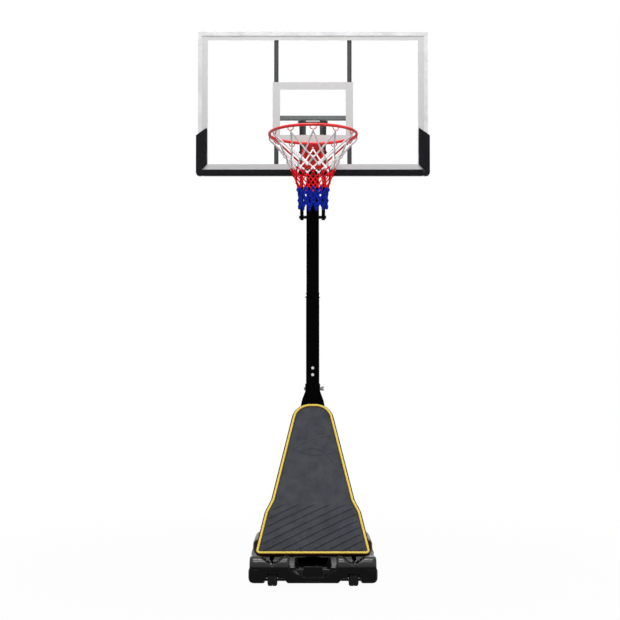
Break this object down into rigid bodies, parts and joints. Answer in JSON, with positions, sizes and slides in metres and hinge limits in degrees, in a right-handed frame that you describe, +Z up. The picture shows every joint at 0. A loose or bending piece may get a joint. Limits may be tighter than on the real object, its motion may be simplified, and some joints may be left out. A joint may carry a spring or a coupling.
{
  "type": "adjustable basketball stand",
  "caption": "Portable basketball stand: filled base on wheels, square pole, parallelogram lift, clear backboard, rim with three-colour net and padded front panel.",
  "frame": {"origin": "on the floor under the pole's axis", "axes": "+Z up, -Y towards the playing side, +X to the right seen from the front"},
  "size_m": [1.327, 1.591, 3.117],
  "materials": {
    "base": "semi-gloss moulded",
    "cap": "matte",
    "steel": "black powder coat",
    "zinc": "zinc plated",
    "dark_bolt": "black oxide",
    "frame": "light grey paint",
    "post": "dark grey paint",
    "crossbar": "grey paint",
    "print": "screen print",
    "clear": "clear sheet",
    "pad": "closed foam",
    "rim": "red powder coat",
    "white": "braided cord",
    "red": "braided cord",
    "blue": "braided cord",
    "cushion": "coated cloth",
    "trim": "piping",
    "backing": "matte",
    "tyre": "moulded",
    "grip": "matte"
  },
  "bodies": {
    "base": {"base_tank": "base", "wheel_axle_left": "zinc", "wheel_axle_right": "zinc", "pole_lower": "steel", "pole_upper": "steel", "pole_cap": "cap", "pole_joint_bolt": "zinc", "guide_bracket_bolt_upper": "zinc", "guide_bracket_bolt_lower": "zinc", "adjuster_bracket": "steel", "guide_pivot_bolt": "zinc", "strut_left": "steel", "strut_right": "steel", "strut_top_bolt": "zinc", "strut_foot_bolt_left": "zinc", "strut_foot_bolt_right": "zinc", "panel_board": "backing", "panel_cushion": "cushion", "panel_trim": "trim", "lower_pole_pivot_bolt": "zinc", "upper_pole_pivot_bolt": "zinc"},
    "lower_arms": {"lower_arm_left": "steel", "lower_arm_right": "steel", "rear_cross_bolt": "dark_bolt"},
    "upper_arms": {"upper_arm_left": "steel", "upper_arm_right": "steel"},
    "backboard": {"frame_rail_top": "frame", "frame_rail_bottom": "frame", "frame_rail_left": "frame", "frame_rail_right": "frame", "acrylic_sheet": "clear", "border_print": "print", "target_square": "print", "board_post_left": "post", "board_post_right": "post", "board_crossbar": "crossbar", "board_bracket_left": "post", "board_bracket_right": "post", "lower_board_pivot_bolt": "dark_bolt", "upper_board_pivot_bolt": "dark_bolt", "board_pad_left": "pad", "board_pad_right": "pad", "board_pad_bottom": "pad", "rim_plate": "rim", "rim_channel": "rim", "rim_ring": "rim", "rim_brace_left": "rim", "rim_brace_right": "rim", "net_white": "white", "net_red": "red", "net_blue": "blue"},
    "rear_link": {"rear_link": "steel", "adjuster_grip": "grip", "guide_link_bolt": "zinc"},
    "guide_link": {"guide_link": "steel"},
    "clamp_knob": {"clamp_knob": "dark_bolt"},
    "filler_cap": {"filler_cap": "cap"},
    "wheel_left": {"wheel_left": "tyre"},
    "wheel_right": {"wheel_right": "tyre"}
  },
  "joints": [
    {"name": "lift", "type": "hinge", "parent": "base", "child": "lower_arms", "pos_m": [0, 0, 2.22991], "axis": [-1, 0, 0], "range_deg": [-45, 30]},
    {"name": "upper_arms_swing", "type": "hinge", "parent": "base", "child": "upper_arms", "pos_m": [0, 0, 2.40991], "axis": [-1, 0, 0], "range_deg": [-45, 30]},
    {"name": "backboard_level", "type": "hinge", "parent": "lower_arms", "child": "backboard", "pos_m": [0, -0.44046, 2.44], "axis": [-1, 0, 0], "range_deg": [-30, 45]},
    {"name": "rear_link_swing", "type": "hinge", "parent": "lower_arms", "child": "rear_link", "pos_m": [0, 0.14983, 2.15845], "axis": [-1, 0, 0], "range_deg": [-30, 45]},
    {"name": "guide_link_swing", "type": "hinge", "parent": "base", "child": "guide_link", "pos_m": [0, 0.085, 1.262], "axis": [-1, 0, 0], "range_deg": [-45, 30]},
    {"name": "clamp_knob_turn", "type": "hinge", "parent": "guide_link", "child": "clamp_knob", "pos_m": [0, 0.13464, 1.23832], "axis": [1, 0, 0], "range_deg": [0, 360]},
    {"name": "filler_cap_turn", "type": "hinge", "parent": "base", "child": "filler_cap", "pos_m": [0.215, 0.33, 0.168], "axis": [0, 0, 1], "range_deg": [0, 360]},
    {"name": "wheel_left_roll", "type": "hinge", "parent": "base", "child": "wheel_left", "pos_m": [-0.224, -0.635, 0.047], "axis": [1, 0, 0], "continuous": true},
    {"name": "wheel_right_roll", "type": "hinge", "parent": "base", "child": "wheel_right", "pos_m": [0.224, -0.635, 0.047], "axis": [1, 0, 0], "continuous": true}
  ],
  "couplings": [
    {"joint": "upper_arms_swing", "follows": "lift", "ratio": 1},
    {"joint": "backboard_level", "follows": "lift", "ratio": -1},
    {"joint": "rear_link_swing", "follows": "lift", "ratio": -1},
    {"joint": "guide_link_swing", "follows": "lift", "ratio": 1}
  ]
}
